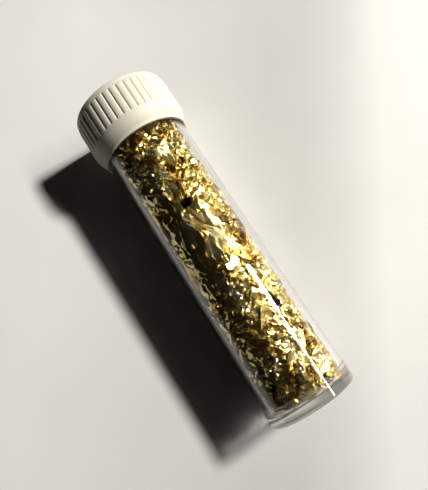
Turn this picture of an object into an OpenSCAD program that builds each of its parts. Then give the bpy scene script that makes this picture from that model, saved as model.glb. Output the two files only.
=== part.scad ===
// Clear plastic sample vial with a ribbed white screw cap, filled with crumpled gold leaf.
// The vial lies on its side: +X runs from the base to the cap and +Z is up. The origin is at
// the middle of the length, on the level of the lowest line of the cap.
// Inside the modules, z runs along the vial from the base's underside to the cap's top.

/* [Vial] */
// Length from the base's underside to the cap's top
vial_len = 60.4; // [55:0.1:75]
// Outer radius of the tube
tube_r = 7.5; // [7:0.1:8]
// Thickness of the tube's wall
wall = 0.9; // [0.7:0.05:1]
// Thickness of the tube's floor
floor_t = 1.5; // [1:0.1:2.5]
// Height of the foot ring at the base
foot_h = 2.9; // [2:0.1:4]
// How far the foot ring stands out from the tube
foot_step = 0.1; // [0.05:0.05:0.3]
// Radius of the rounding along the foot's lower edge
foot_round = 0.4; // [0.2:0.1:0.8]
// Radius of the rounding between the tube's floor and its wall, inside
floor_round = 0.9; // [0.4:0.1:1.2]

/* [Screw thread] */
// Distance between neighbouring turns of the thread
pitch = 2.5; // [2.3:0.1:2.7]
// Number of turns on the neck, and in the cap
thread_turns = 1.5; // [1:0.25:1.5]
// Height of a thread ridge
thread_h = 0.4; // [0.3:0.05:0.45]
// Radial gap between the neck and the cap
running_gap = 0.1; // [0.05:0.01:0.12]

/* [Cap] */
// Height of the cap
cap_h = 9.5; // [9.3:0.1:10]
// Radius over the cap's ribs
cap_r = 8.87; // [8.7:0.01:9.2]
// Radius of the smooth lip round the cap's top
lip_r = 8.72; // [8.6:0.01:8.8]
// Radius of the rounding along the lip
lip_round = 0.45; // [0.2:0.05:0.6]
// Outer radius of the cap at its open edge
collar_r = 7.95; // [7.95:0.01:8.1]
// Height of the smooth collar below the ribs
collar_h = 3; // [2.8:0.1:3.4]
// Thickness of the cap's top, which is also the height of the smooth lip
cap_top = 1.2; // [1:0.1:1.4]
// Number of grooves between the ribs
grooves = 42; // [36:1:48]
// Radius of the round cutter that makes a groove
groove_r = 0.3; // [0.2:0.05:0.35]

/* [Liner] */
// Thickness of the foam liner disc
liner_t = 0.76; // [0.6:0.02:0.9]
// Gap between the liner and each face that it lies against
liner_gap = 0.02; // [0.01:0.01:0.05]
// Radial gap between the liner and the inside of the cap
liner_side_gap = 0.2; // [0.1:0.05:0.4]

/* [Gold leaf] */
// Thickness of a crumpled sheet, several times the real leaf's so that it is a solid
leaf_t = 0.06; // [0.06:0.01:0.1]
// Mean radius of the crumpled pieces that lie against the wall
shell_r = 5.85; // [5.7:0.05:5.9]
// How far a piece against the wall crumples in and out
shell_crumple = 0.45; // [0.2:0.05:0.5]
// Radius at which a rolled sheet in the core starts
roll_in_r = 1.2; // [0.8:0.1:1.5]
// Radius at which a rolled sheet in the core ends
roll_out_r = 4.6; // [4.2:0.1:4.7]
// How far a rolled sheet crumples in and out
roll_crumple = 0.25; // [0.1:0.05:0.3]

/* [Hidden] */
$fn = 96;
bore_r = tube_r - wall;
foot_r = tube_r + foot_step;
// how far the cap's open edge hangs over the tube
cap_overlap = 0.3;
// levels along the vial
cap_edge = vial_len - cap_h;
shoulder = cap_edge + cap_overlap;
rib_low = cap_edge + collar_h;
cap_ceiling = vial_len - cap_top;
liner_low = cap_ceiling - liner_gap - liner_t;
rim = liner_low - liner_gap;
// how far the neck's thread stays inside the tube's outer surface
crest_step = 0.05;
// radii of the neck and of the cap's inside, root of the thread and crest of the thread
neck_crest_r = tube_r - crest_step;
neck_root_r = neck_crest_r - thread_h;
cap_bore_r = neck_crest_r + running_gap;
cap_crest_r = neck_root_r + running_gap;
// bevels along the tube's shoulder and along its rim
shoulder_bevel = 0.15;
rim_bevel = 0.2;
// thread ridge: its width in the wall and along its crest, and how far it is let into the wall
ridge_root_w = 1.1;
ridge_crest_w = 0.5;
ridge_let_in = 0.18;
ridge_steps = 36;
// share of its height that a ridge has at its very ends, and how steeply it grows from there
ridge_end_share = 0.2;
ridge_growth = 7;
// distance from the rim down to the end of the neck's ridge
thread_end_gap = 0.95;
neck_thread_low = rim - thread_end_gap - pitch * thread_turns;
cap_thread_low = neck_thread_low - pitch / 2;
// the collar's curve: how far above the collar it starts, how far outside its straight edge it ends,
// the height of that edge, and how square it is, where 2 is an ellipse
collar_rise = 0.3;
collar_step = 0.06;
collar_edge_h = 1;
collar_bend = 2.2;
// how far a groove runs into the lip
groove_run_in = 0.1;
// levels between which the leaf lies: it stays clear of the floor and fills the start of the neck
leaf_low = floor_t + 0.5;
leaf_high = shoulder + 1.4;
// gaps between two bands of leaf and between two pieces of one band
leaf_gap = 0.35;
leaf_gap_deg = 4;
// facets across and along a piece against the wall, and across and along a roll
leaf_cells = 7;
roll_cells_across = 17;
roll_cells_along = 5;
// turns that a roll makes, and how far each roll is turned on from the one below it
roll_turns = 1.5;
roll_shift_deg = 70;
// how far the grid of a sheet moves at random, as a share of one facet
edge_tear = 0.3;
// shares of the leaf's height at which its five bands start and end, from the base to the neck
band_ends = [0, 0.16, 0.36, 0.58, 0.79, 1];
band_names = ["base_flake", "lower_wad", "middle_sheet", "upper_wad", "top_wad"];
// angles round the tube at which a band is divided into its four pieces, from straight up towards -Y
band_cuts = [
    [-75, 5, 95, 185],
    [-60, 35, 120, 200],
    [-50, 25, 110, 215],
    [-70, -5, 80, 190],
    [-55, 30, 125, 210]
];
bands = [0:len(band_names) - 1];
quarters = [0:3];

// Lays a shape that stands on z = 0 down along +X, with its angle 0 at the top.
module lie_down() {
    translate([-vial_len / 2, 0, cap_r]) rotate([0, 90, 0]) rotate([0, 0, 180]) children();
}

// Points of a quarter circle round centre, from the angle start through turn, which is 90 or -90.
function quarter_arc(centre, radius, start, turn, steps = 6) =
    [
        for (k = [0:steps])
            let (angle = start + turn * k / steps)
            centre + radius * [cos(angle), sin(angle)]
    ];

// One point of a thread ridge's section: side is -1 at its lower edge and +1 at its upper edge.
function ridge_point(angle, radius, level, half_w, side) =
    [radius * cos(angle), radius * sin(angle), level + side * half_w];

// How much of its height the ridge has at a place along it, from 0 to 1: it fades out at both ends.
function ridge_height(place) = min(1, ridge_end_share + ridge_growth * min(place, 1 - place));

// A right-handed thread ridge that stands out of a wall at wall_r and reaches crest_r.
module thread_ridge(wall_r, crest_r, low) {
    out = sign(crest_r - wall_r);
    root_r = wall_r - out * ridge_let_in;
    rings = round(ridge_steps * thread_turns);
    points = [
        for (k = [0:rings])
            let (
                angle = 360 * k / ridge_steps,
                level = low + pitch * k / ridge_steps,
                top_r = root_r + (crest_r - root_r) * ridge_height(k / rings)
            )
            each [
                ridge_point(angle, root_r, level, ridge_root_w / 2, -out),
                ridge_point(angle, top_r, level, ridge_crest_w / 2, -out),
                ridge_point(angle, top_r, level, ridge_crest_w / 2, out),
                ridge_point(angle, root_r, level, ridge_root_w / 2, out)
            ]
    ];
    sides = [
        for (k = [0:rings - 1])
            for (m = [0:3])
                let (a = 4 * k + m, b = 4 * k + (m + 1) % 4)
                each [[a, b, b + 4], [a, b + 4, a + 4]]
    ];
    last = 4 * rings;
    caps = [[0, 3, 2, 1], [last, last + 1, last + 2, last + 3]];
    polyhedron(points, concat(sides, caps), convexity = 6);
}

// The clear tube, with its floor, foot ring, shoulder and threaded neck in one moulding.
module vial_body() {
    outline = concat(
        [[0, 0]],
        quarter_arc([foot_r - foot_round, foot_round], foot_round, -90, 90),
        [
            [foot_r, foot_h - foot_step],
            [tube_r, foot_h],
            [tube_r, shoulder - shoulder_bevel],
            [tube_r - shoulder_bevel, shoulder],
            [neck_root_r, shoulder],
            [neck_root_r, rim - rim_bevel],
            [neck_root_r - rim_bevel, rim],
            [bore_r, rim]
        ],
        quarter_arc([bore_r - floor_round, floor_t + floor_round], floor_round, 0, -90),
        [[0, floor_t]]
    );
    color("whitesmoke", 0.35) lie_down() {
        union() {
            rotate_extrude() polygon(outline);
            thread_ridge(neck_root_r, neck_crest_r, neck_thread_low);
        }
    }
}

// Outer outline of the cap's collar, which curves in from the ribs and stops short of the open edge.
function collar_outline(steps = 8) =
    [
        for (k = [0:steps])
            let (
                fall = k / steps,
                inset = 1 - sqrt(1 - pow(fall, collar_bend)),
                drop = fall * (collar_rise + collar_h - collar_edge_h)
            )
            [cap_r - inset * (cap_r - collar_r - collar_step), rib_low + collar_rise - drop]
    ];

// The white cap: ribs between a smooth lip and a smooth collar, hollow, with its own thread inside.
module screw_cap() {
    outline = concat(
        [[0, vial_len]],
        quarter_arc([lip_r - lip_round, vial_len - lip_round], lip_round, 90, -90),
        [[lip_r, cap_ceiling], [cap_r, cap_ceiling]],
        collar_outline(),
        [
            [collar_r, cap_edge],
            [cap_bore_r, cap_edge],
            [cap_bore_r, cap_ceiling],
            [0, cap_ceiling]
        ]
    );
    color("ivory") lie_down() {
        union() {
            difference() {
                rotate_extrude() polygon(outline);
                for (k = [0:grooves - 1]) rotate([0, 0, 360 * k / grooves]) groove_cutter();
            }
            thread_ridge(cap_bore_r, cap_crest_r, cap_thread_low);
        }
    }
}

// What is cut out between two ribs: a round groove, from the collar to just inside the lip.
module groove_cutter() {
    groove_len = cap_ceiling - rib_low + groove_run_in;
    translate([cap_r, 0, rib_low]) cylinder(r = groove_r, h = groove_len, $fn = 24);
}

// The foam disc inside the cap's top, which seals the rim.
module cap_liner() {
    color("gainsboro") lie_down() {
        translate([0, 0, liner_low]) cylinder(r = cap_bore_r - liner_side_gap, h = liner_t);
    }
}

// Share of the way across a torn sheet at grid line k of n, moved by jitter and never past its ends.
function torn(k, n, jitter) =
    (k + edge_tear * (k == 0 ? abs(jitter) : k == n ? -abs(jitter) : jitter)) / n;

// A thin crumpled sheet round the vial's axis. Its angle runs over turn and its level over levels. Its
// radius goes from first_r to last_r on the way round, in and out by crumple at random, and its number
// seeds the crumple.
module crumpled_sheet(levels, turn, first_r, last_r, crumple, across, along, number) {
    jitter = rands(-1, 1, 3 * (across + 1) * (along + 1), number);
    row = along + 1;
    face = (across + 1) * row;
    points = [
        for (side = [-0.5, 0.5])
            for (i = [0:across])
                for (j = [0:along])
                    let (
                        n = 3 * (i * row + j),
                        share = torn(i, across, jitter[n]),
                        angle = turn[0] + (turn[1] - turn[0]) * share,
                        level = levels[0] + (levels[1] - levels[0]) * torn(j, along, jitter[n + 1]),
                        mean_r = first_r + (last_r - first_r) * share,
                        radius = mean_r + crumple * jitter[n + 2] + side * leaf_t
                    )
                    [radius * cos(angle), radius * sin(angle), level]
    ];
    skins = [
        for (i = [0:across - 1])
            for (j = [0:along - 1])
                let (a = i * row + j, b = a + 1, c = a + row + 1, d = a + row)
                each [
                    [a + face, b + face, c + face],
                    [a + face, c + face, d + face],
                    [a, c, b],
                    [a, d, c]
                ]
    ];
    ends = [
        for (i = [0:across - 1])
            let (a = i * row, b = a + row, c = a + along, d = b + along)
            each [
                [a + face, b + face, b],
                [a + face, b, a],
                [d + face, c + face, c],
                [d + face, c, d]
            ]
    ];
    sides = [
        for (j = [0:along - 1])
            let (a = j, b = j + 1, c = across * row + j, d = c + 1)
            each [
                [b + face, a + face, a],
                [b + face, a, b],
                [c + face, d + face, d],
                [c + face, d, c]
            ]
    ];
    polyhedron(points, concat(skins, ends, sides), convexity = 10);
}

// Lowest and highest level of a band of leaf.
function band_levels(band) =
    [
        leaf_low + (leaf_high - leaf_low) * band_ends[band] + leaf_gap / 2,
        leaf_low + (leaf_high - leaf_low) * band_ends[band + 1] - leaf_gap / 2
    ];

// A torn piece of leaf against the wall: one of the four in its band.
module wall_leaf(band, quarter) {
    cuts = band_cuts[band];
    start = cuts[quarter];
    end = quarter < 3 ? cuts[quarter + 1] : cuts[0] + 360;
    color("gold") lie_down() {
        crumpled_sheet(
            band_levels(band), [start + leaf_gap_deg / 2, end - leaf_gap_deg / 2],
            shell_r, shell_r, shell_crumple, leaf_cells, leaf_cells, 10 * band + quarter + 1
        );
    }
}

// A loosely rolled sheet of leaf in the middle of a band.
module core_roll(band) {
    start = roll_shift_deg * band;
    color("goldenrod") lie_down() {
        crumpled_sheet(
            band_levels(band), [start, start + 360 * roll_turns],
            roll_in_r, roll_out_r, roll_crumple, roll_cells_across, roll_cells_along, 10 * band + 9
        );
    }
}

vial_body();
screw_cap();
cap_liner();
for (band = bands) {
    for (quarter = quarters) {
        wall_leaf(band, quarter);
    }
    core_roll(band);
}
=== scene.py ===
"""A clear plastic sample vial with a white screw cap, full of crumpled gold leaf, lying on a pale surface."""

import math

import bpy
import numpy as np
from mathutils import Matrix, Vector


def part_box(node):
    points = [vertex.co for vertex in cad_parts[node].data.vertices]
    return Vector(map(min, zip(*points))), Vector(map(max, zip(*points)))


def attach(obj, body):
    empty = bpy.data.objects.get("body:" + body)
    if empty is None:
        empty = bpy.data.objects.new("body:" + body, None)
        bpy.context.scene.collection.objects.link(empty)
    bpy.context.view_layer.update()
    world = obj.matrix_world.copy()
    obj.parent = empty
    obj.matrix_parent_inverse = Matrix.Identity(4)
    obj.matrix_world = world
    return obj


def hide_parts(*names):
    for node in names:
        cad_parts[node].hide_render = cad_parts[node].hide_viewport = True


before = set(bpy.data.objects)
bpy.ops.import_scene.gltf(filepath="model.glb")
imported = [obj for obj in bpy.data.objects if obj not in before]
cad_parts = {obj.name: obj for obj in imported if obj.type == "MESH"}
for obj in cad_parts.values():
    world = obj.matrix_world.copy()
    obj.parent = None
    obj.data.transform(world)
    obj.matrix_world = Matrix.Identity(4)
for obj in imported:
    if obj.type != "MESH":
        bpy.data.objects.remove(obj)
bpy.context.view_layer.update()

MM = 0.001

# ---------------------------------------------------------------- sizes, in millimetres as in the CAD model
VIAL_LOW, VIAL_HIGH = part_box("vial_body")
CAP_LOW, CAP_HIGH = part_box("screw_cap")
LINER_LOW, LINER_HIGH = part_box("cap_liner")

BASE_X = VIAL_LOW.x / MM  # the base's underside, from which levels are measured
AXIS_Z = (VIAL_LOW.z + VIAL_HIGH.z) / 2 / MM
LENGTH = (CAP_HIGH.x - VIAL_LOW.x) / MM
FOOT_R = (VIAL_HIGH.y - VIAL_LOW.y) / 2 / MM
CAP_R = (CAP_HIGH.y - CAP_LOW.y) / 2 / MM
RIM = (VIAL_HIGH.x - VIAL_LOW.x) / MM
CAP_EDGE = (CAP_LOW.x - VIAL_LOW.x) / MM
LINER_R = (LINER_HIGH.y - LINER_LOW.y) / 2 / MM
LINER_BOTTOM = (LINER_LOW.x - VIAL_LOW.x) / MM
LINER_TOP = (LINER_HIGH.x - VIAL_LOW.x) / MM

TUBE_R = FOOT_R - 0.1
BORE_R = TUBE_R - 0.9
FLOOR_T = 1.5
FLOOR_FILLET = 0.9
FOOT_H = 2.9
BASE_ROUND = 0.4
FOOT_EDGE_ROUND = 0.06
SHOULDER = CAP_EDGE + 0.3
SHOULDER_ROUND = 0.15
RIM_ROUND = 0.1
NECK_CREST_R = TUBE_R - 0.05
THREAD_H = 0.4
NECK_ROOT_R = NECK_CREST_R - THREAD_H
PITCH = 2.5
THREAD_TURNS = 1.5
THREAD_RUN_OUT = 0.12  # the share of a turn over which a thread's end rises or sinks
THREAD_HALF_WIDTHS = (0.22, 0.58)  # at a ridge's crest and at its root
NECK_THREAD_LOW = RIM - 0.95 - PITCH * THREAD_TURNS

LIP_R = 8.72
LIP_ROUND = 0.45
CAP_CEILING = LENGTH - 1.2
CAP_CORNER_ROUND = 0.25  # inside, between the bore and the ceiling
CAP_BORE_R = NECK_CREST_R + 0.1
CAP_EDGE_ROUND = 0.08
RIB_LOW = CAP_EDGE + 3.0
RIBS = 42
GROOVE_DEPTH = 0.28
RIB_SQUARE = 2.4  # how square a rib's section is, where 2 is an ellipse
COLLAR_R = 7.95
COLLAR_TOP = RIB_LOW + 0.3
COLLAR_FALL = 2.8  # the height over which the collar curves in
COLLAR_FLARE = 0.03  # how much wider its straight edge is at the top
LINER_ROUND = 0.12

# How many faces go round each turned piece; the cap's are for one rib.
TUBE_COLUMNS = 256
LINER_COLUMNS = 128
RIB_COLUMNS = 14

# ---------------------------------------------------------------- looks
# Tints are (place on the noise, colour).
CAP_TINTS = ((0.35, (0.67, 0.635, 0.54)), (0.65, (0.72, 0.685, 0.59)))
FOAM_TINTS = ((0.3, (0.74, 0.74, 0.72)), (0.7, (0.88, 0.88, 0.86)))
LEAF_TINTS = ((0.37, (0.58, 0.41, 0.12)), (0.50, (0.74, 0.62, 0.30)), (0.65, (0.83, 0.75, 0.47)))
FLOOR_TINTS = ((0.3, (0.71, 0.70, 0.684)), (0.7, (0.75, 0.74, 0.724)))

FOOT_HAZE = 0.16  # the share of the light that the moulded foot scatters
LEAF_SPREAD = (0.16, 0.5)  # the least and most of the light that leaf spreads widely, on its lit -Y side
LEAF_SPREAD_PAINTED_SHADE = 0.12  # painted shade: the share of it left on the +Y side, away from the lamps

# Painted light and shade on the surface, as (metres along FLOOR_ACROSS, share): painted shade beside
# the vial's lit side, lighter past that, and painted dark far out on the shaded side, so that this side
# of the vial has little to mirror.
FLOOR_ACROSS = (-0.577, -0.817, 0.0)
FLOOR_PAINTED_SHADE = (
    (-0.13, 0.1),
    (-0.055, 0.97),
    (-0.03, 0.97),
    (0.01, 0.74),
    (0.017, 0.74),
    (0.025, 0.82),
    (0.033, 0.98),
)

CAMERA_LENS = 34.7
CAMERA_PLACE = (-15.49, 10.06, 86.59)  # in millimetres
CAMERA_FORWARD = (0.1869, -0.1320, -0.9735)
PICTURE_GAMMA = 0.82  # deepens the shade, as the photo's contrast does

ROOM_COLOUR = (1.0, 0.92, 0.80)
ROOM_GLOW = (0.06, 0.003)  # its strength on the -Y side and elsewhere
LAMP_COLOUR = (1.0, 0.975, 0.93)
LAMP_DISTANCE = 0.8
LAMP_ELEVATION = math.radians(46)
# Each lamp's place along the vial, its length along it and width, in metres, and its energy in watts.
LAMPS = {
    "key": (0.035, (0.098, 0.089), 8.3),
    "strip": (-0.057, (0.286, 0.05), 2.25),
}

# The lying vial touches the floor with its ribs' ends and its foot, so the floor leans a little in its frame.
RIB_X = BASE_X + CAP_CEILING
FLOOR_SLOPE = VIAL_LOW.z / MM / (RIB_X - BASE_X)
FLOOR_NORMAL = Vector((FLOOR_SLOPE, 0, 1)).normalized()


# ---------------------------------------------------------------- mesh helpers
def to_row(level, angle, radius):
    """Points in the row frame, in metres, from a level along the vial, an angle from straight up
    towards -Y, and a radius, all arrays of one shape."""
    return np.stack(
        [
            (BASE_X + level) * MM,
            -radius * np.sin(angle) * MM,
            (AXIS_Z + radius * np.cos(angle)) * MM,
        ],
        axis=-1,
    )


def new_object(name, points, faces, material, smooth=True):
    mesh = bpy.data.meshes.new(name)
    mesh.from_pydata(points.tolist(), [], [list(map(int, f)) for f in faces])
    mesh.update()
    if smooth:
        mesh.shade_smooth()
    mesh.materials.append(material)
    piece = bpy.data.objects.new(name, mesh)
    bpy.context.scene.collection.objects.link(piece)
    return piece


def turned(name, levels, radii, columns, material):
    """A closed shape of revolution. levels and radii are arrays, one row per ring from pole to pole and one
    column per angle, or one column for all. The first and last ring have a radius of 0. The profile runs down
    the outside, towards the base, so that the faces look outwards."""
    rows = len(levels)
    levels = np.broadcast_to(levels, (rows, columns))
    radii = np.broadcast_to(radii, (rows, columns))
    angle = np.broadcast_to(np.arange(columns) * 2 * np.pi / columns, (rows, columns))
    rings = to_row(levels[1:-1], angle[1:-1], radii[1:-1]).reshape(-1, 3)
    poles = to_row(levels[[0, -1], 0], np.zeros(2), np.zeros(2))
    points = np.concatenate([rings, poles])
    first, last = len(rings), len(rings) + 1
    here = np.arange(columns)
    there = (here + 1) % columns
    faces = []
    for k in range(rows - 3):
        a, b = k * columns, (k + 1) * columns
        faces += np.stack([a + here, b + here, b + there, a + there], axis=1).tolist()
    end = (rows - 3) * columns
    faces += [[first, int(i), int(j)] for i, j in zip(here, there)]
    faces += [[last, int(end + j), int(end + i)] for i, j in zip(here, there)]
    return new_object(name, points, faces, material)


def arc(centre, radius, start, turn, steps):
    """(level, radius) points of an arc. Angles are in degrees from the direction of a growing radius."""
    angles = np.radians(start + turn * np.arange(steps + 1) / steps)
    return [(centre[0] + radius * math.sin(t), centre[1] + radius * math.cos(t)) for t in angles]


def line(start, end, steps):
    """(level, radius) points along a straight stretch, without its first point."""
    return [
        (start[0] + (end[0] - start[0]) * k / steps, start[1] + (end[1] - start[1]) * k / steps)
        for k in range(1, steps + 1)
    ]


def smoothstep(value, low, high):
    t = np.clip((value - low) / (high - low), 0, 1)
    return t * t * (3 - 2 * t)


def thread_relief(levels, angle, low):
    """How far a thread ridge that starts at low stands out, from 0 to 1, at levels and angles."""
    crest, root = THREAD_HALF_WIDTHS
    relief = np.zeros(np.broadcast(levels, angle).shape)
    for turn in range(int(THREAD_TURNS) + 1):
        along = angle / (2 * np.pi) + turn
        centre = low + PITCH * along
        ends = smoothstep(along, 0, THREAD_RUN_OUT) * smoothstep(THREAD_TURNS - along, 0, THREAD_RUN_OUT)
        ridge = 1 - smoothstep(np.abs(levels - centre), crest, root)
        relief = np.maximum(relief, ridge * ends)
    return relief


# ---------------------------------------------------------------- materials
def new_material(name):
    material = bpy.data.materials.new(name)
    material.use_nodes = True
    return material, material.node_tree.nodes, material.node_tree.links


def axis_of(nodes, links, axis, coordinates="Object"):
    """One of a point's coordinates, "X", "Y" or "Z"."""
    place = nodes.new("ShaderNodeTexCoord")
    axes = nodes.new("ShaderNodeSeparateXYZ")
    links.new(place.outputs[coordinates], axes.inputs["Vector"])
    return axes.outputs[axis]


def noise_node(nodes, links, scale, detail=4.0, stretch=(1, 1, 1)):
    """Noise over a piece's own coordinates. Scales are in features per metre, more or less."""
    place = nodes.new("ShaderNodeTexCoord")
    mapping = nodes.new("ShaderNodeMapping")
    mapping.inputs["Scale"].default_value = stretch
    noise = nodes.new("ShaderNodeTexNoise")
    noise.inputs["Scale"].default_value = scale
    noise.inputs["Detail"].default_value = detail
    links.new(place.outputs["Object"], mapping.inputs["Vector"])
    links.new(mapping.outputs["Vector"], noise.inputs["Vector"])
    return noise


def map_range(nodes, links, source, low, high, from_low=0.3, from_high=0.7):
    """source brought from the range from_low to from_high, which is about a noise's own, to low to high."""
    ranged = nodes.new("ShaderNodeMapRange")
    ranged.inputs["From Min"].default_value = from_low
    ranged.inputs["From Max"].default_value = from_high
    ranged.inputs["To Min"].default_value = low
    ranged.inputs["To Max"].default_value = high
    links.new(source, ranged.inputs["Value"])
    return ranged.outputs["Result"]


def tint_ramp(nodes, links, source, colours):
    """source, from 0 to 1, as a colour, from (place, colour) in rising order."""
    ramp = nodes.new("ShaderNodeValToRGB")
    ramp.color_ramp.elements[0].color = (*colours[0][1], 1)
    ramp.color_ramp.elements[0].position = colours[0][0]
    ramp.color_ramp.elements[1].color = (*colours[-1][1], 1)
    ramp.color_ramp.elements[1].position = colours[-1][0]
    for place, colour in colours[1:-1]:
        ramp.color_ramp.elements.new(place).color = (*colour, 1)
    links.new(source, ramp.inputs["Fac"])
    return ramp.outputs["Color"]


def bump(nodes, links, shader, source, strength, distance):
    """Roughens a shader's normal by source, which stands for a height of up to distance metres."""
    node = nodes.new("ShaderNodeBump")
    node.inputs["Strength"].default_value = strength
    node.inputs["Distance"].default_value = distance
    links.new(source, node.inputs["Height"])
    links.new(node.outputs["Normal"], shader.inputs["Normal"])
    return node


def white_plastic():
    material, nodes, links = new_material("white_plastic")
    shader = nodes["Principled BSDF"]
    stain = noise_node(nodes, links, 160, 5)
    links.new(tint_ramp(nodes, links, stain.outputs["Fac"], CAP_TINTS), shader.inputs["Base Color"])
    shader.inputs["Subsurface Weight"].default_value = 0.05
    shader.inputs["Subsurface Radius"].default_value = (0.9, 0.8, 0.6)
    shader.inputs["Subsurface Scale"].default_value = 0.001
    shader.inputs["IOR"].default_value = 1.49
    grain = noise_node(nodes, links, 5200, 3)
    links.new(map_range(nodes, links, stain.outputs["Fac"], 0.48, 0.6), shader.inputs["Roughness"])
    bump(nodes, links, shader, grain.outputs["Fac"], 0.12, 0.00003)
    return material


def clear_plastic():
    """Clear plastic that lets lamps through, with faint waviness from the mould and a slightly hazy foot."""
    material, nodes, links = new_material("clear_plastic")
    shader = nodes["Principled BSDF"]
    output = nodes["Material Output"]
    shader.inputs["Base Color"].default_value = (0.985, 0.99, 0.98, 1)
    shader.inputs["Transmission Weight"].default_value = 1.0
    shader.inputs["IOR"].default_value = 1.55
    scuff = noise_node(nodes, links, 420, 6)
    links.new(map_range(nodes, links, scuff.outputs["Fac"], 0.0, 0.012), shader.inputs["Roughness"])
    wave = noise_node(nodes, links, 90, 2, (0.4, 1, 1))
    bump(nodes, links, shader, wave.outputs["Fac"], 0.02, 0.0002)
    along = axis_of(nodes, links, "X")
    foot_edge = (BASE_X + FOOT_H) * MM
    haze = nodes.new("ShaderNodeBsdfDiffuse")
    haze.inputs["Color"].default_value = (0.78, 0.75, 0.69, 1)
    veiled = nodes.new("ShaderNodeMixShader")
    in_foot = map_range(nodes, links, along, FOOT_HAZE, 0.0, foot_edge - 0.0012, foot_edge)
    links.new(in_foot, veiled.inputs[0])
    links.new(shader.outputs["BSDF"], veiled.inputs[1])
    links.new(haze.outputs["BSDF"], veiled.inputs[2])
    # A lamp's light passes where it meets the wall squarely. It is bent away where it grazes the wall, and
    # partly in the foot.
    graze = nodes.new("ShaderNodeLayerWeight")
    graze.inputs["Blend"].default_value = 0.5
    above_foot = map_range(nodes, links, along, 0.75, 1.0, foot_edge - 0.0002, foot_edge)
    passed = map_range(nodes, links, graze.outputs["Facing"], 0.93, 0.1, 0.35, 0.6)
    both = nodes.new("ShaderNodeMath")
    both.operation = "MULTIPLY"
    links.new(above_foot, both.inputs[0])
    links.new(passed, both.inputs[1])
    light_path = nodes.new("ShaderNodeLightPath")
    clear = nodes.new("ShaderNodeBsdfTransparent")
    mix = nodes.new("ShaderNodeMixShader")
    links.new(both.outputs[0], clear.inputs["Color"])
    links.new(light_path.outputs["Is Shadow Ray"], mix.inputs[0])
    links.new(veiled.outputs["Shader"], mix.inputs[1])
    links.new(clear.outputs["BSDF"], mix.inputs[2])
    links.new(mix.outputs["Shader"], output.inputs["Surface"])
    return material


def foam():
    material, nodes, links = new_material("foam")
    shader = nodes["Principled BSDF"]
    cells = noise_node(nodes, links, 2600, 5)
    links.new(tint_ramp(nodes, links, cells.outputs["Fac"], FOAM_TINTS), shader.inputs["Base Color"])
    shader.inputs["Roughness"].default_value = 0.8
    bump(nodes, links, shader, cells.outputs["Fac"], 0.5, 0.0001)
    return material


def gold_leaf():
    """Thin metal leaf: pale where it is clean and deeper where it is stained, with very fine wrinkles."""
    material, nodes, links = new_material("gold_leaf")
    shader = nodes["Principled BSDF"]
    stain = noise_node(nodes, links, 330, 4)
    tint = tint_ramp(nodes, links, stain.outputs["Fac"], LEAF_TINTS)
    links.new(tint, shader.inputs["Base Color"])
    shader.inputs["Metallic"].default_value = 1.0
    wrinkle = noise_node(nodes, links, 2400, 4)
    links.new(map_range(nodes, links, stain.outputs["Fac"], 0.22, 0.14), shader.inputs["Roughness"])
    crease = bump(nodes, links, shader, wrinkle.outputs["Fac"], 0.22, 0.00008)
    # Wrinkles too fine to see spread a part of the light widely, less so on the +Y side as painted shade.
    spread = nodes.new("ShaderNodeBsdfAnisotropic")
    spread.inputs["Roughness"].default_value = 0.42
    mix = nodes.new("ShaderNodeMixShader")
    area = noise_node(nodes, links, 170, 3)
    # Painted shade: the wide spread fades towards the +Y side, away from the lamps.
    side = axis_of(nodes, links, "Y")
    share = nodes.new("ShaderNodeMath")
    share.operation = "MULTIPLY"
    links.new(map_range(nodes, links, area.outputs["Fac"], *LEAF_SPREAD, 0.4, 0.6), share.inputs[0])
    links.new(map_range(nodes, links, side, 1.0, LEAF_SPREAD_PAINTED_SHADE, -0.0015, 0.003), share.inputs[1])
    links.new(share.outputs[0], mix.inputs[0])
    links.new(tint, spread.inputs["Color"])
    links.new(crease.outputs["Normal"], spread.inputs["Normal"])
    links.new(shader.outputs["BSDF"], mix.inputs[1])
    links.new(spread.outputs["BSDF"], mix.inputs[2])
    links.new(mix.outputs["Shader"], nodes["Material Output"].inputs["Surface"])
    return material


def paper():
    """The pale surface, with a grain and a painted gradient of light and shade across it."""
    material, nodes, links = new_material("pale_surface")
    shader = nodes["Principled BSDF"]
    cloud = noise_node(nodes, links, 30, 6)
    tint = tint_ramp(nodes, links, cloud.outputs["Fac"], FLOOR_TINTS)
    place = nodes.new("ShaderNodeTexCoord")
    reach = nodes.new("ShaderNodeVectorMath")
    reach.operation = "DOT_PRODUCT"
    reach.inputs[1].default_value = FLOOR_ACROSS
    links.new(place.outputs["Object"], reach.inputs[0])
    first, last = FLOOR_PAINTED_SHADE[0][0], FLOOR_PAINTED_SHADE[-1][0]
    across = map_range(nodes, links, reach.outputs["Value"], 0.0, 1.0, first, last)
    painted_shades = [((along - first) / (last - first), (share,) * 3) for along, share in FLOOR_PAINTED_SHADE]
    # Painted light and shade: the surface's tint times a share read along FLOOR_ACROSS.
    shaded = nodes.new("ShaderNodeVectorMath")
    shaded.operation = "MULTIPLY"
    links.new(tint, shaded.inputs[0])
    links.new(tint_ramp(nodes, links, across, painted_shades), shaded.inputs[1])
    links.new(shaded.outputs["Vector"], shader.inputs["Base Color"])
    shader.inputs["Roughness"].default_value = 0.7
    grain = noise_node(nodes, links, 1800, 4)
    bump(nodes, links, shader, grain.outputs["Fac"], 0.15, 0.00005)
    return material


# ---------------------------------------------------------------- camera, floor and lights
def aim(thing, target):
    thing.rotation_mode = "QUATERNION"
    thing.rotation_quaternion = (Vector(target) - thing.location).to_track_quat("-Z", "Y")


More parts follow.
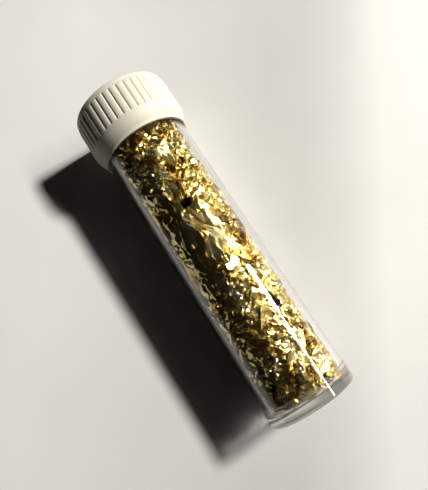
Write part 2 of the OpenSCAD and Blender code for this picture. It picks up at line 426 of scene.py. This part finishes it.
def make_camera():
    """A camera almost straight above, level over the leaning floor."""
    camera = bpy.data.objects.new("camera", bpy.data.cameras.new("camera"))
    camera.data.lens = CAMERA_LENS
    camera.data.clip_start = 0.005
    forward = Vector(CAMERA_FORWARD).normalized()
    right = forward.cross(FLOOR_NORMAL).normalized()
    turn = Matrix((right, right.cross(forward), -forward)).transposed()
    camera.matrix_world = Matrix.Translation(Vector(CAMERA_PLACE) * MM) @ turn.to_4x4()
    bpy.context.scene.collection.objects.link(camera)
    bpy.context.scene.camera = camera


def make_floor():
    """The surface, a hair below the vial so that nothing of it is cut."""
    side, gap = 3.0, 0.00002
    corners = [
        (x, y, FLOOR_SLOPE * (RIB_X * MM - x) - gap)
        for x, y in ((-side, -side), (side, -side), (side, side), (-side, side))
    ]
    floor = new_object("floor", np.array(corners), [(0, 1, 2, 3)], paper(), smooth=False)


def make_lights():
    make_room()
    for name, (along, size, energy) in LAMPS.items():
        make_lamp(name, along, size, energy)


def make_room():
    """A dark room that is a little brighter on the -Y side, where the lamps are."""
    world = bpy.data.worlds.new("room")
    bpy.context.scene.world = world
    world.use_nodes = True
    nodes, links = world.node_tree.nodes, world.node_tree.links
    room = nodes["Background"]
    room.inputs["Color"].default_value = (*ROOM_COLOUR, 1)
    glow = map_range(nodes, links, axis_of(nodes, links, "Y", "Generated"), *ROOM_GLOW, -1.0, 0.1)
    glow.node.interpolation_type = "SMOOTHSTEP"
    links.new(glow, room.inputs["Strength"])


def make_lamp(name, along, size, energy):
    """A lamp on the -Y side, at LAMP_ELEVATION above the vial's axis and so far along it."""
    lamp = bpy.data.objects.new(name, bpy.data.lights.new(name, "AREA"))
    lamp.data.shape = "RECTANGLE"
    lamp.data.size, lamp.data.size_y = size
    lamp.data.energy = energy
    lamp.data.color = LAMP_COLOUR
    lamp.location = (
        along,
        -LAMP_DISTANCE * math.cos(LAMP_ELEVATION),
        LAMP_DISTANCE * math.sin(LAMP_ELEVATION) + AXIS_Z * MM,
    )
    aim(lamp, (along, 0, AXIS_Z * MM))
    bpy.context.scene.collection.objects.link(lamp)


# ---------------------------------------------------------------- tube
def tube_profile():
    """(level, radius) from the base's middle up the outside, and then down the inside to the floor's middle.
    A flat face has a ring close to each tight corner, which keeps its smooth shading flat."""
    outside = [(0, 0), (0, 3.0), (0, FOOT_R - 0.5)]
    outside += arc((BASE_ROUND, FOOT_R - BASE_ROUND), BASE_ROUND, -90, 90, 8)
    outside += [(BASE_ROUND + 0.05, FOOT_R), (0.6, FOOT_R)]
    outside += line((0.6, FOOT_R), (FOOT_H - 0.2, FOOT_R), 4)
    outside += [(FOOT_H - 0.08, FOOT_R)]
    outside += arc((FOOT_H - FOOT_EDGE_ROUND, FOOT_R - FOOT_EDGE_ROUND), FOOT_EDGE_ROUND, 0, 80, 4)
    outside += [(FOOT_H, TUBE_R + 0.02), (FOOT_H + 0.02, TUBE_R), (FOOT_H + 0.04, TUBE_R)]
    outside += [(FOOT_H + 0.2, TUBE_R)]
    outside += line((FOOT_H + 0.2, TUBE_R), (SHOULDER - 0.2, TUBE_R), 24)
    outside += arc((SHOULDER - SHOULDER_ROUND, TUBE_R - SHOULDER_ROUND), SHOULDER_ROUND, 0, 90, 4)
    outside += [(SHOULDER, NECK_ROOT_R + 0.1), (SHOULDER + 0.1, NECK_ROOT_R)]
    outside += line((SHOULDER + 0.1, NECK_ROOT_R), (RIM - 0.25, NECK_ROOT_R), 60)
    outside += arc((RIM - SHOULDER_ROUND, NECK_ROOT_R - SHOULDER_ROUND), SHOULDER_ROUND, 0, 90, 4)
    inside = arc((RIM - RIM_ROUND, BORE_R + RIM_ROUND), RIM_ROUND, 90, 90, 4)
    inside += line((RIM - RIM_ROUND, BORE_R), (FLOOR_T + 1.0, BORE_R), 40)
    inside += arc((FLOOR_T + FLOOR_FILLET, BORE_R - FLOOR_FILLET), FLOOR_FILLET, 0, -90, 12)
    inside += [(FLOOR_T, BORE_R - 1.0), (FLOOR_T, 3.0), (FLOOR_T, 0)]
    return outside, inside


def make_tube():
    outside, inside = tube_profile()
    profile = np.array(outside + inside)[::-1]
    levels, radii = profile[:, :1], profile[:, 1:]
    angle = np.arange(TUBE_COLUMNS)[None, :] * 2 * np.pi / TUBE_COLUMNS
    on_neck = (levels > SHOULDER + 0.1) & (levels < RIM - 0.2) & (radii > NECK_ROOT_R - 0.01)
    radii = radii + THREAD_H * on_neck * thread_relief(levels, angle, NECK_THREAD_LOW)
    tube = turned("clear_tube", levels, radii, TUBE_COLUMNS, clear_plastic())
    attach(tube, "vial")
    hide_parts("vial_body")


# ---------------------------------------------------------------- cap
def collar_radius(fall):
    """The collar's radius at a share of the way from the ribs to its straight edge."""
    return CAP_R - fall**2.1 * (CAP_R - COLLAR_R - COLLAR_FLARE)


def cap_profile():
    """(level, radius) from the top's middle down the outside, and then up the inside to its middle."""
    outside = [(LENGTH, 0), (LENGTH, 3.0), (LENGTH, 6.0)]
    outside += arc((LENGTH - LIP_ROUND, LIP_R - LIP_ROUND), LIP_ROUND, 90, -90, 7)
    outside += line((LENGTH - LIP_ROUND, LIP_R), (CAP_CEILING + 0.1, LIP_R), 3)
    outside += arc((CAP_CEILING + 0.08, LIP_R), 0.04, 0, -60, 2)
    outside += [(CAP_CEILING + 0.03, CAP_R - 0.1), (CAP_CEILING, CAP_R - 0.04), (CAP_CEILING - 0.05, CAP_R)]
    outside += line((CAP_CEILING - 0.05, CAP_R), (RIB_LOW + 0.5, CAP_R), 12)
    falls = np.linspace(0, 1, 24)
    outside += [(COLLAR_TOP - fall * COLLAR_FALL, float(collar_radius(fall))) for fall in falls]
    edge = CAP_EDGE + CAP_EDGE_ROUND
    outside += line((COLLAR_TOP - COLLAR_FALL, COLLAR_R + COLLAR_FLARE), (edge, COLLAR_R), 4)
    outside += arc((edge, COLLAR_R - CAP_EDGE_ROUND), CAP_EDGE_ROUND, 0, -90, 3)
    inside = arc((edge, CAP_BORE_R + CAP_EDGE_ROUND), CAP_EDGE_ROUND, -90, -90, 3)
    inside += line((edge, CAP_BORE_R), (CAP_CEILING - 0.3, CAP_BORE_R), 70)
    inside += arc(
        (CAP_CEILING - CAP_CORNER_ROUND, CAP_BORE_R - CAP_CORNER_ROUND), CAP_CORNER_ROUND, 0, 90, 4
    )
    inside += [(CAP_CEILING, 4.0), (CAP_CEILING, 0)]
    return outside, inside


def rib_relief(levels, angle):
    """How far the surface is let in between two ribs, at levels and angles."""
    across = (angle * RIBS / (2 * np.pi)) % 1 - 0.5
    depth = GROOVE_DEPTH * (1 - (1 - np.abs(2 * across) ** RIB_SQUARE) ** (1 / RIB_SQUARE))
    lower_end = np.sqrt(np.clip((levels - RIB_LOW + 0.15) / 0.55, 0, 1))
    upper_end = np.clip((CAP_CEILING + 0.02 - levels) / 0.05, 0, 1)
    return depth * lower_end * upper_end


def make_cap():
    columns = RIBS * RIB_COLUMNS
    outside, inside = cap_profile()
    profile = np.array(outside + inside)
    levels, radii = profile[:, :1], profile[:, 1:]
    angle = np.arange(columns)[None, :] * 2 * np.pi / columns
    is_outside = (np.arange(len(profile)) < len(outside))[:, None]
    ribbed = is_outside & (levels > RIB_LOW - 0.2) & (levels < CAP_CEILING + 0.02)
    threaded = ~is_outside & (radii == CAP_BORE_R)
    radii = radii - ribbed * rib_relief(levels, angle)
    radii = radii - THREAD_H * threaded * thread_relief(levels, angle, NECK_THREAD_LOW - PITCH / 2)
    cap = turned("ribbed_cap", levels, radii, columns, white_plastic())
    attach(cap, "cap")
    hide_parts("screw_cap")


def make_liner():
    profile = [(LINER_BOTTOM, 0), (LINER_BOTTOM, 3.5)]
    profile += arc((LINER_BOTTOM + LINER_ROUND, LINER_R - LINER_ROUND), LINER_ROUND, -90, 90, 4)
    profile += arc((LINER_TOP - LINER_ROUND, LINER_R - LINER_ROUND), LINER_ROUND, 0, 90, 4)
    profile += [(LINER_TOP, 3.5), (LINER_TOP, 0)]
    profile = np.array(profile)[::-1]
    liner = turned("foam_liner", profile[:, :1], profile[:, 1:], LINER_COLUMNS, foam())
    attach(liner, "liner")
    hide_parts("cap_liner")


# ---------------------------------------------------------------- gold leaf
def leaf_style(cell, depth, shares, flakes=0, size=(0.0, 0.0), tilt=0.0):
    """How a sheet is crumpled: the size of its first facets, how far they lie in and out, how far each finer
    split of them moves, and the number, size and tilt of the flakes caught on it."""
    return {"cell": cell, "depth": depth, "shares": shares, "flakes": flakes, "size": size, "tilt": tilt}


STYLES = {
    "base_flake": leaf_style(2.6, 0.5, (0.08, 0.1, 0.12), 20, (0.9, 2.4), 0.55),
    "lower_wad": leaf_style(2.1, 0.45, (0.1, 0.12, 0.15), 14, (0.8, 2.2), 0.5),
    "middle_sheet": leaf_style(2.2, 0.3, (0.08, 0.14, 0.18), 7, (0.6, 1.6), 0.35),
    "upper_wad": leaf_style(1.9, 0.35, (0.1, 0.15, 0.2), 9, (0.5, 1.4), 0.4),
    "top_wad": leaf_style(1.9, 0.4, (0.1, 0.15, 0.2), 10, (0.5, 1.5), 0.45),
}
# These lie smooth: four pieces on the shaded side and two on top of the lying vial.
SMOOTH = leaf_style(2.8, 0.2, (0.03, 0.04, 0.05), 4, (0.5, 1.2), 0.3)
SMOOTH_NODES = ("upper_wad_1", "upper_wad_4", "middle_sheet_1", "middle_sheet_4", "lower_wad_4", "top_wad_4")

SHEET_R = 5.95
SHEET_OVERLAP = 0.8  # how far a sheet reaches past the CAD leaf that it stands for, along the vial
SHEET_ANGLE_OVERLAP = SHEET_OVERLAP / 6  # and round it, in radians
SHEET_JITTER = 0.36  # how far a sheet's first points stray, as a share of a facet
FLAKE_R = (5.7, 6.4)
FLAKE_SHARES = (0.12, 0.1)

# The least room between the leaf and the bore, its floor and the rim.
WALL_GAP = 0.05
FLOOR_GAP = 0.1
RIM_GAP = 4

# The flat flakes against the tube's floor, for each quarter of the base.
FLOOR_FLAKES = 12
FLOOR_FLAKE_SIZE = (1.5, 2.6)
FLOOR_FLAKE_TILT = 0.22
FLOOR_FLAKE_R = 5.4  # how far out they lie at most

# A large smooth piece lies against the wall, over the crumpled leaf.
PATCH_NODE = "middle_sheet_1"
PATCH_LEVELS = (25.5, 34.0)
PATCH_ANGLES = (math.radians(-50), math.radians(16))
PATCH_R = 6.3
PATCH = leaf_style(3.4, 0.1, (0.02, 0.03, 0.04))

# A hole in the leaf, near its top, is dark: its level, place to the side and height over the axis.
HOLE = np.array([36.6, 0.3, 5.9])
HOLE_R = 0.95

# A core roll's inner radius, how much farther out its outer end is, its turns and its facets.
CORE_R = 1.2
CORE_SPREAD = 3.6
CORE_TURNS = 1.5
CORE_GRID = (8, 26)
CORE_SHARES = (0.16, 0.12)


def crumple(points, triangles, shares, rng):
    """Splits every triangle in four once for each of shares, and moves each new point at random by about that
    share of the length of the edge that it splits. Most points move little and a few move far, so the sheet
    keeps flat facets between sharp creases."""
    for share in shares:
        sides = np.concatenate([triangles[:, [0, 1]], triangles[:, [1, 2]], triangles[:, [2, 0]]])
        edges, which = np.unique(np.sort(sides, axis=1), axis=0, return_inverse=True)
        ends = points[edges]
        length = np.linalg.norm(ends[:, 0] - ends[:, 1], axis=1, keepdims=True)
        amount = share * np.minimum(np.abs(rng.normal(size=length.shape)) ** 2, 3)
        middle = ends.mean(axis=1) + rng.normal(size=(len(edges), 3)) * length * amount
        a, b, c = triangles.T
        ab, bc, ca = which.reshape(3, -1) + len(points)
        triangles = np.concatenate(
            [np.stack(t, axis=1) for t in ((a, ab, ca), (ab, b, bc), (ca, bc, c), (ab, bc, ca))]
        )
        points = np.concatenate([points, middle])
    return points, triangles


def held_in(points):
    """Points, as (level, to the side, up), kept inside the bore, off its floor and clear of the rim."""
    radius = np.linalg.norm(points[:, 1:], axis=1, keepdims=True)
    points[:, 1:] *= np.minimum(1, (BORE_R - WALL_GAP) / np.maximum(radius, 1e-6))
    points[:, 0] = np.clip(points[:, 0], FLOOR_T + FLOOR_GAP, RIM - RIM_GAP)
    return points


def on_wall(level, angle, radius):
    """The point at a level, an angle from straight up towards -Y and a radius."""
    return np.stack(np.broadcast_arrays(level, -radius * np.sin(angle), radius * np.cos(angle)), axis=-1)


def grid_triangles(rows, columns, rng):
    """Two triangles for each cell of a grid of points, split along a diagonal picked at random."""
    a = (np.arange(rows)[:, None] * (columns + 1) + np.arange(columns)).ravel()
    b, c, d = a + 1, a + columns + 2, a + columns + 1
    either = (rng.random(len(a)) < 0.5)[:, None]
    one = np.where(either, np.stack([a, b, c], 1), np.stack([a, b, d], 1))
    two = np.where(either, np.stack([a, c, d], 1), np.stack([b, c, d], 1))
    return np.concatenate([one, two])


def sheet(levels, angles, style, rng, radius=SHEET_R):
    """A crumpled sheet with torn edges that covers a stretch of the wall."""
    cell = style["cell"]
    rows = max(2, round((levels[1] - levels[0]) / cell))
    columns = max(2, round((angles[1] - angles[0]) * radius / cell))
    level, angle = np.meshgrid(
        np.linspace(*levels, rows + 1), np.linspace(*angles, columns + 1), indexing="ij"
    )
    level = level + rng.uniform(-SHEET_JITTER, SHEET_JITTER, level.shape) * cell
    angle = angle + rng.uniform(-SHEET_JITTER, SHEET_JITTER, level.shape) * cell / radius
    reach = radius + style["depth"] * rng.uniform(-1.3, 0.9, level.shape)
    points = on_wall(level, angle, reach).reshape(-1, 3)
    return crumple(points, grid_triangles(rows, columns, rng), style["shares"], rng)


def flake(centre, size, normal, rng):
    """A small torn piece of leaf round a centre, with a ragged outline."""
    normal = normal / np.linalg.norm(normal)
    side = np.cross(normal, rng.normal(size=3))
    side = side / np.linalg.norm(side)
    other = np.cross(normal, side)
    corners = int(rng.integers(5, 9))
    turns = (np.arange(corners) + rng.uniform(-0.35, 0.35, corners)) * 2 * np.pi / corners
    reach = size * rng.uniform(0.4, 1.0, corners)
    lift = size * rng.uniform(-0.22, 0.22, corners)
    rim = (
        centre
        + (reach * np.cos(turns))[:, None] * side
        + (reach * np.sin(turns))[:, None] * other
        + lift[:, None] * normal
    )
    k = np.arange(corners)
    triangles = np.stack([np.zeros(corners, int), 1 + k, 1 + (k + 1) % corners], axis=1)
    return crumple(np.concatenate([[centre], rim]), triangles, FLAKE_SHARES, rng)


def joined(parts):
    """Several (points, triangles) as one."""
    points, triangles, count = [], [], 0
    for p, t in parts:
        points.append(p)
        triangles.append(t + count)
        count += len(p)
    return np.concatenate(points), np.concatenate(triangles)


def leaf_region(node):
    """(levels, angles) that a CAD leaf covers, read from its own vertices. Angles run from straight up
    towards -Y, in radians, and start just after the widest gap."""
    flat = np.zeros(len(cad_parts[node].data.vertices) * 3, np.float32)
    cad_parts[node].data.vertices.foreach_get("co", flat)
    points = flat.reshape(-1, 3) / MM
    angle = np.sort(np.arctan2(-points[:, 1], points[:, 2] - AXIS_Z))
    gaps = np.diff(np.append(angle, angle[0] + 2 * np.pi))
    widest = int(np.argmax(gaps))
    first = angle[(widest + 1) % len(angle)]
    level = points[:, 0] - BASE_X
    return (float(level.min()), float(level.max())), (float(first), float(first + 2 * np.pi - gaps[widest]))


def make_wall_leaf(node, seed, material):
    """A piece against the wall: a crumpled sheet, the small flakes that are caught on it, and in the lowest
    band the flakes on the tube's floor."""
    rng = np.random.default_rng(seed)
    style = SMOOTH if node in SMOOTH_NODES else STYLES[node[:-2]]
    levels, angles = leaf_region(node)
    wide = (angles[0] - SHEET_ANGLE_OVERLAP, angles[1] + SHEET_ANGLE_OVERLAP)
    tall = (levels[0] - SHEET_OVERLAP, levels[1] + SHEET_OVERLAP)
    parts = [sheet(tall, wide, style, rng)]
    if node == PATCH_NODE:
        parts.append(sheet(PATCH_LEVELS, PATCH_ANGLES, PATCH, rng, PATCH_R))
    for _ in range(style["flakes"]):
        angle = rng.uniform(*angles)
        centre = on_wall(rng.uniform(*levels), angle, rng.uniform(*FLAKE_R))
        normal = on_wall(0.0, angle, 1.0) + rng.normal(size=3) * style["tilt"]
        parts.append(flake(centre, rng.uniform(*style["size"]), normal, rng))
    if node.startswith("base_flake"):
        parts += floor_flakes(angles, rng)
    add_leaf(node, *joined(parts), material)


def floor_flakes(angles, rng):
    """Flakes that lie flat against the tube's floor, between two angles."""
    flakes = []
    for _ in range(FLOOR_FLAKES):
        level = rng.uniform(FLOOR_T + 0.3, FLOOR_T + 0.9)
        angle = rng.uniform(*angles)
        centre = on_wall(level, angle, FLOOR_FLAKE_R * rng.random() ** 0.5)
        normal = np.array([-1.0, 0, 0]) + rng.normal(size=3) * FLOOR_FLAKE_TILT
        flakes.append(flake(centre, rng.uniform(*FLOOR_FLAKE_SIZE), normal, rng))
    return flakes


def make_core_roll(node, seed, material):
    """A loosely rolled sheet in the middle of the tube."""
    rng = np.random.default_rng(seed)
    levels, _ = leaf_region(node)
    rows, columns = CORE_GRID
    level, share = np.meshgrid(
        np.linspace(*levels, rows + 1), np.linspace(0, 1, columns + 1), indexing="ij"
    )
    level = level + rng.uniform(-0.3, 0.3, level.shape)
    reach = CORE_R + CORE_SPREAD * share + rng.uniform(-0.35, 0.35, level.shape)
    points = on_wall(level, share * 2 * CORE_TURNS * np.pi, reach).reshape(-1, 3)
    add_leaf(node, *crumple(points, grid_triangles(rows, columns, rng), CORE_SHARES, rng), material)


def add_leaf(node, points, triangles, material):
    points = held_in(points)
    middles = points[triangles].mean(axis=1)
    triangles = triangles[np.linalg.norm(middles - HOLE, axis=1) > HOLE_R]
    row = np.stack([BASE_X + points[:, 0], points[:, 1], AXIS_Z + points[:, 2]], axis=1) * MM
    leaf = new_object("leaf_" + node, row, triangles, material, smooth=False)
    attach(leaf, "vial")
    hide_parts(node)


def make_leaf():
    material = gold_leaf()
    vessel = ("vial_body", "screw_cap", "cap_liner")
    for seed, node in enumerate(sorted(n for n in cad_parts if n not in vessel)):
        make = make_core_roll if node.startswith("core_roll") else make_wall_leaf
        make(node, seed, material)


bpy.context.scene.view_settings.view_transform = "Standard"
bpy.context.scene.view_settings.gamma = PICTURE_GAMMA
make_camera()
make_floor()
make_lights()
make_tube()
make_cap()
make_liner()
make_leaf()
